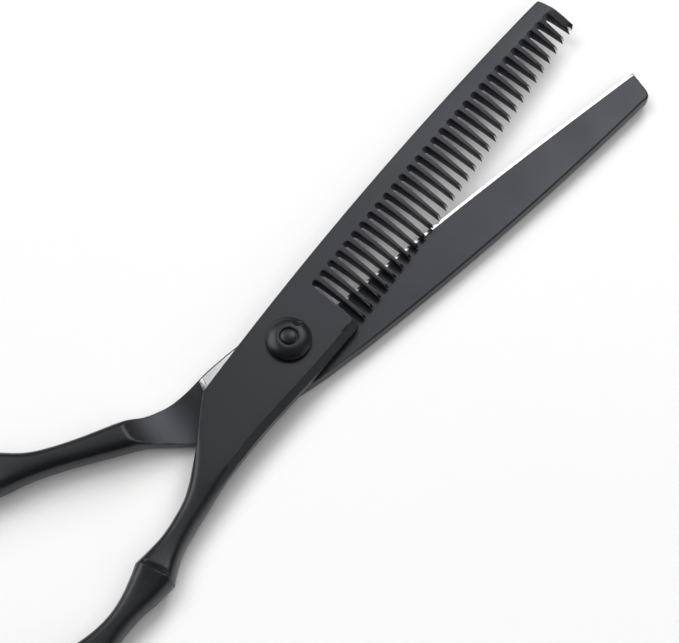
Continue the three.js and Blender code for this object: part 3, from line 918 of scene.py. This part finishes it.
def rear_nut():
    """A flat cap nut with a boss and two holes for a pin spanner."""
    radius = 3.7
    boss_radius = 2.6
    hole_radius = 0.45
    cap_top = PLAIN_BOTTOM - 0.02
    thread_bottom = 0.5
    hole_ceiling = 0.55
    rings = (1.45, 1.49, 2.2, 2.5, 2.58, 2.62, 3.45, 3.55, 3.62, 3.67)
    holes = [np.array((side * 2.9, 0.0)) for side in (-1, 1)]

    def top(points):
        out = np.hypot(*points.T)
        level = np.where(out < boss_radius, PLAIN_BOTTOM + 1 - edge_drop(boss_radius - out, 0.12),
                         cap_top - edge_drop(radius - out, 0.12))
        return np.where(out < THREAD_RADIUS + 0.02, thread_bottom, level)

    def bottom(points):
        out = np.hypot(*points.T)
        face = edge_drop(radius - out, 0.28)
        in_hole = np.any([np.hypot(*(points - hole).T) < hole_radius for hole in holes], axis=0)
        return np.where(in_hole, hole_ceiling, face)

    creases = []
    for ring_radius in rings:
        line = arc((0, 0), ring_radius, 0, 360, 0.35)
        for p, q in zip(line, line[1:]):
            if all(np.linalg.norm((p + q) / 2 - hole) > hole_radius + 0.15 for hole in holes):
                creases.append([p, q])
    for hole in holes:
        creases += [arc(hole, hole_radius + beside, 0, 360, 0.1) for beside in (-0.02, 0.02)]
    rim = circle((0, 0), radius, 0.3)
    piece = relief("rear_nut_cap", rim, [], top, bottom, -HALF_OPENING, creases=creases)
    return finish_piece(piece, "finger_arm", "rear_nut", "black_coated_steel", BLACK)


def pivot_screw():
    """A shouldered screw, threaded at both ends and bored for the retaining screw."""
    bottom = 0.55
    shoulder_bottom = PLAIN_BOTTOM + 1.05
    shoulder_top = COMB_TOP + 0.1
    bore_radius = 0.72
    bore_bottom = 5.0
    profile = rounded([
        (0, bottom, 0), (THREAD_RADIUS, bottom, 0.15), (THREAD_RADIUS, shoulder_bottom, 0),
        (SCREW_RADIUS, shoulder_bottom, 0.06), (SCREW_RADIUS, shoulder_top, 0.12),
        (THREAD_RADIUS, shoulder_top, 0), (THREAD_RADIUS, SCREW_TOP, 0.1), (bore_radius, SCREW_TOP, 0.05),
        (bore_radius, bore_bottom, 0), (0, bore_bottom, 0),
    ], 0)
    piece = lathe("pivot_screw_body", profile, 48, turned_by(-HALF_OPENING))
    return finish_piece(piece, "finger_arm", "pivot_screw", "bare_steel", BARE)


def ring_profile(inner, outer, low, high, radius):
    """The section of a flat ring or sleeve, with its corners rounded."""
    return rounded([(inner, low), (outer, low), (outer, high), (inner, high)], radius, 3)


def pivot_bushing():
    """The sleeve pressed into the comb arm's bore."""
    profile = ring_profile(SCREW_RADIUS + 0.06, BUSHING_RADIUS, COMB_BOTTOM + 0.55, COMB_TOP - 0.05, 0.1)
    piece = lathe("pivot_bushing_sleeve", profile, 48, turned_by(HALF_OPENING))
    return finish_piece(piece, "thumb_arm", "pivot_bushing", "bare_steel", BARE)


def ride_washer():
    """The plastic washer between the arms, in a seat in the comb arm."""
    low, high = PLAIN_TOP + 0.05, COMB_BOTTOM + 0.45
    profile = ring_profile(SCREW_RADIUS + 0.3, RIDE_WASHER_RADIUS, low, high, 0.12)
    piece = lathe("ride_washer_disc", profile, 64, turned_by(HALF_OPENING))
    return finish_piece(piece, "thumb_arm", "ride_washer", "washer_plastic", PLASTIC)


def click_plate():
    """A thin plate with a tab that the rim of the dial clicks over."""
    inner, outer = SCREW_RADIUS + 0.2, 3.2
    tab_reach, tab_radius = 3.25, 0.5
    outline = []
    for k in range(120):
        angle = 2 * math.pi * k / 120
        off = angle - math.pi / 2
        across = tab_reach * math.sin(off)
        radius = outer
        if abs(across) < tab_radius and math.cos(off) > 0:
            radius = max(outer, tab_reach * math.cos(off) + math.sqrt(tab_radius ** 2 - across ** 2))
        outline.append(np.array((radius * math.cos(angle), radius * math.sin(angle))))
    hole = list(reversed(circle((0, 0), inner, 0.3)))
    low, high = COMB_TOP + 0.05, COMB_TOP + 0.25

    def top(points):
        return high - edge_drop(distance(points, [*outline, outline[0]]), 0.04)

    def bottom(points):
        return low + edge_drop(distance(points, [*outline, outline[0]]), 0.04)

    piece = relief("click_plate_leaf", outline, [hole], top, bottom, HALF_OPENING, (0.04,))
    return finish_piece(piece, "thumb_arm", "click_plate", "spring_steel", SPRING)


def wave_washer():
    """The spring washer under the dial, with two waves."""
    middle = COMB_TOP + 0.52
    profile = ring_profile(2.15, 2.95, middle - 0.08, middle + 0.08, 0.03)

    def wave(angle):
        return 0.12 * math.cos(2 * angle)

    piece = lathe("wave_washer_ring", profile, 72, turned_by(HALF_OPENING), wave)
    return finish_piece(piece, "thumb_arm", "wave_washer", "spring_steel", SPRING)


# ---------------------------------------------------------------- finger rest and bumper

REST_DIRECTION = math.radians(-98)
BUMPER_DIRECTION = math.atan2(FINGER_RING[1] - THUMB_RING[1], FINGER_RING[0] - THUMB_RING[0])
STUD_RADIUS = 1.05


def on_ring(centre, direction, turn):
    """Puts a piece turned about Z onto the outside of a ring, pointing away from the ring's centre."""
    tipped = Matrix.Rotation(math.pi / 2, 4, "Y")
    outwards = turned_by(direction) @ Matrix.Translation((RING_OUTER, 0, 0)) @ tipped
    return turned_by(turn) @ Matrix.Translation((*centre, RING_MIDDLE)) @ outwards


def sweep(name, stations, turn, segments=24):
    """A closed round bar through stations of (x, y, z, radius) that lie at one height."""
    centres = np.array([station[:3] for station in stations], float)
    ahead = np.gradient(centres, axis=0)
    vertices = []
    for (x, y, z, radius), along in zip(stations, ahead):
        along = along / np.linalg.norm(along)
        side = np.array((-along[1], along[0]))
        for k in range(segments):
            angle = 2 * math.pi * k / segments
            out = radius * math.cos(angle)
            vertices.append((x + side[0] * out, y + side[1] * out, z + radius * math.sin(angle)))
    faces = []
    for i in range(len(stations) - 1):
        for k in range(segments):
            m = (k + 1) % segments
            a, b = i * segments, (i + 1) * segments
            faces.append((a + k, b + k, b + m, a + m))
    last = (len(stations) - 1) * segments
    faces.append(tuple(range(segments)))
    faces.append(tuple(last + k for k in reversed(range(segments))))
    return to_mesh(name, vertices, faces, turn)


def finger_rest():
    """A curved hook for the little finger: a stud, a collar, a tapered neck and a ball end."""
    out = np.array((math.cos(REST_DIRECTION), math.sin(REST_DIRECTION)))
    stations = []

    def add(point, radius):
        stations.append((point[0], point[1], RING_MIDDLE, radius))

    collar_start, collar_stop = 0.8, 2.0
    straight = [(-2.2, 0.85), (-2.05, STUD_RADIUS), (collar_start - 0.01, STUD_RADIUS),
                (collar_start, 1.55), (collar_start + 0.12, 1.75), (collar_stop - 0.15, 1.75),
                (collar_stop, 1.6), (collar_stop + 0.12, 1.4), (collar_stop + 0.4, 1.3)]
    for reach, radius in straight:
        add(np.array(FINGER_RING) + out * (RING_OUTER + reach), radius)
    start = np.array(stations[-1][:2])
    end = np.array((-34.5, -103.4))
    hook = [start, np.array((-24.1, -98.5)), np.array((-27.0, -102.6)), end]
    for t in np.linspace(0, 1, 30)[1:-1]:
        weights = ((1 - t) ** 3, 3 * t * (1 - t) ** 2, 3 * t * t * (1 - t), t ** 3)
        add(sum(w * p for w, p in zip(weights, hook)), 1.3 + 0.12 * math.sin(math.pi * t) - 0.1 * t)
    ball = 1.8
    ahead = (end - hook[2]) / np.linalg.norm(end - hook[2])
    neck = math.asin(1.2 / ball)
    for angle in np.linspace(neck, math.pi - 0.15, 14):
        add(end - ahead * ball * math.cos(angle), ball * math.sin(angle))
    piece = sweep("finger_rest_hook", stations, -HALF_OPENING)
    return finish_piece(piece, "finger_arm", "finger_rest", "black_coated_steel", BLACK)


def finger_rest_washer():
    """The rubber washer between the finger ring and the rest's collar."""
    place = on_ring(FINGER_RING, REST_DIRECTION, -HALF_OPENING)
    profile = ring_profile(STUD_RADIUS + 0.1, 1.8, 0.15, 0.75, 0.18)
    piece = lathe("finger_rest_washer_ring", profile, 40, place)
    return finish_piece(piece, "finger_arm", "finger_rest_washer", "black_rubber", RUBBER)


def bumper():
    """A rubber stop pressed into the thumb ring."""
    stem = 1.2
    head = 2.1
    profile = rounded([(0, -1.8, 0), (stem, -1.8, 0.2), (stem, 0.3, 0), (head, 0.3, 0.15),
                       (head, 3.0, 0.6), (1.55, 3.75, 0.5), (0, 3.9, 0)], 0, 6)
    piece = lathe("bumper_stop", profile, 40, on_ring(THUMB_RING, BUMPER_DIRECTION, HALF_OPENING))
    return finish_piece(piece, "thumb_arm", "bumper", "black_rubber", RUBBER)


comb_arm()
plain_arm()
tension_dial()
retaining_screw()
rear_nut()
pivot_screw()
pivot_bushing()
ride_washer()
click_plate()
wave_washer()
finger_rest()
finger_rest_washer()
bumper()

# ---------------------------------------------------------------- stage

# A long lens, looking 67 degrees down
CAMERA_TURN = math.radians(43.1)
CAMERA_TILT = math.radians(23)
CAMERA_PLACE = (120.76, -117.48, 409.85)
CAMERA_LENS = 148.454


def on_stage(right, away, up):
    """The point that lies this far to the right of the pivot, away from the viewer and up, in metres."""
    c, s = math.cos(CAMERA_TURN), math.sin(CAMERA_TURN)
    return Vector((right * c - away * s, right * s + away * c, up))


def camera():
    data = bpy.data.cameras.new("camera")
    data.lens = CAMERA_LENS
    data.clip_start = 0.01
    data.clip_end = 10
    made = bpy.data.objects.new("camera", data)
    made.location = Vector(CAMERA_PLACE) * MM
    made.rotation_euler = (CAMERA_TILT, 0, CAMERA_TURN)
    bpy.context.scene.collection.objects.link(made)
    bpy.context.scene.camera = made


def table_top():
    half = 1.5
    just_below = -0.00002
    corners = [(-half, -half, 0), (half, -half, 0), (half, half, 0), (-half, half, 0)]
    mesh = bpy.data.meshes.new("table_top")
    mesh.from_pydata(corners, [], [(0, 1, 2, 3)])
    made = bpy.data.objects.new("table_top", mesh)
    made.location.z = just_below
    bpy.context.scene.collection.objects.link(made)
    material, tree, shader = nodes_of("pale_table")
    mottle = noise(tree, 6, 3)
    pale = blended(tree, mottle, (0.80, 0.80, 0.80), (0.83, 0.83, 0.825))
    tree.links.new(pale, shader.inputs["Base Color"])
    shader.inputs["Roughness"].default_value = 0.75
    shader.inputs["Specular IOR Level"].default_value = 0.2
    mesh.materials.append(material)


def softbox(name, place, target, size, radiance, reflected):
    """A square light that is either only seen reflected in the steel or only lights the table."""
    data = bpy.data.lights.new(name, "AREA")
    data.shape = "SQUARE"
    data.size = size
    data.energy = radiance * math.pi * size ** 2
    made = bpy.data.objects.new(name, data)
    made.location = place
    made.rotation_euler = (Vector(place) - Vector(target)).to_track_quat("Z", "Y").to_euler()
    made.visible_camera = False
    made.visible_glossy = reflected
    made.visible_diffuse = not reflected
    bpy.context.scene.collection.objects.link(made)


def studio():
    """Soft white light from all round, strongest from the left and from behind."""
    world = bpy.data.worlds.new("studio")
    world.use_nodes = True
    background = world.node_tree.nodes["Background"]
    background.inputs["Color"].default_value = (1, 1, 1, 1)
    background.inputs["Strength"].default_value = 0.02
    bpy.context.scene.world = world
    middle = on_stage(0, 0, 0)
    softbox("left_key", on_stage(-0.7, 0.2, 0.55), middle, 0.8, 2.6, True)
    softbox("left_back", on_stage(-0.5, 0.6, 0.7), middle, 0.7, 0.6, True)
    softbox("right_side", on_stage(0.85, -0.27, 0.32), middle, 0.5, 0.7, True)
    softbox("over_tips", on_stage(0.15, 0.2, 0.3), middle, 0.2, 2.6, True)
    softbox("over_pivot", on_stage(0.04, 0.2, 0.35), middle, 0.2, 1.5, True)
    softbox("table_left", on_stage(-0.35, 0.3, 0.9), middle, 0.5, 4.4, False)
    softbox("table_back", on_stage(0.3, 0.8, 0.6), middle, 0.5, 9.0, False)
    softbox("table_front", on_stage(0.5, -0.5, 0.7), middle, 0.8, 0.8, False)
    softbox("table_above", on_stage(0, 0, 1.0), middle, 1.4, 1.2, False)


camera()
table_top()
studio()
bpy.context.scene.view_settings.view_transform = "Standard"
